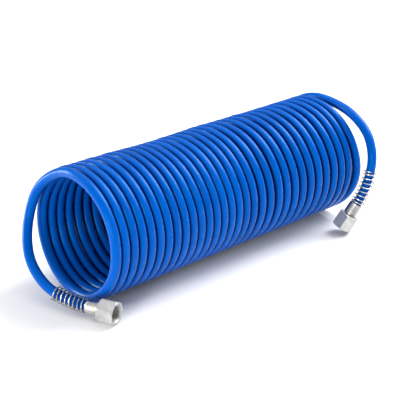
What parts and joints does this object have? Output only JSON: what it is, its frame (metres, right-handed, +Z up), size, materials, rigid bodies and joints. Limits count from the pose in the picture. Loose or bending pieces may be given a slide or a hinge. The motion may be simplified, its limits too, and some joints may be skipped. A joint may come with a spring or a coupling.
{
  "type": "coiled air hose",
  "caption": "Recoil air hose: a long blue polyurethane tube wound in a close coil, with both tails free and a spring-guarded hexagon swivel fitting on each.",
  "frame": {"origin": "centre of the object's footprint, on the floor that the coil lies on", "axes": "+X along the coil's axis towards the end whose fitting points down, +Z up, and -Y towards the side that both fittings lie on"},
  "size_m": [0.3109, 0.131, 0.1074],
  "materials": {
    "hose": "glossy mid-blue polyurethane",
    "plated_metal": "nickel plate, satin on the flats",
    "guard_wire": "bright drawn spring wire",
    "seal": "matt black nitrile"
  },
  "bodies": {
    "hose": {"hose_coil": "hose", "hose_front_tail": "hose", "hose_rear_tail": "hose", "hose_front_end": "hose", "hose_rear_end": "hose", "front_ferrule": "plated_metal", "front_stem": "plated_metal", "front_o_ring": "seal", "front_spring_guard": "guard_wire", "rear_ferrule": "plated_metal", "rear_stem": "plated_metal", "rear_o_ring": "seal", "rear_spring_guard": "guard_wire"},
    "front_nut": {"front_swivel_nut": "plated_metal"},
    "rear_nut": {"rear_swivel_nut": "plated_metal"}
  },
  "joints": [
    {"name": "front_nut_swivel", "type": "hinge", "parent": "hose", "child": "front_nut", "pos_m": [-0.13329, -0.03864, 0.01], "axis": [0.3629, -0.9318, 0], "continuous": true},
    {"name": "rear_nut_swivel", "type": "hinge", "parent": "hose", "child": "rear_nut", "pos_m": [0.12115, -0.05019, 0.01143], "axis": [-0.4299, 0.2819, -0.8577], "continuous": true}
  ]
}
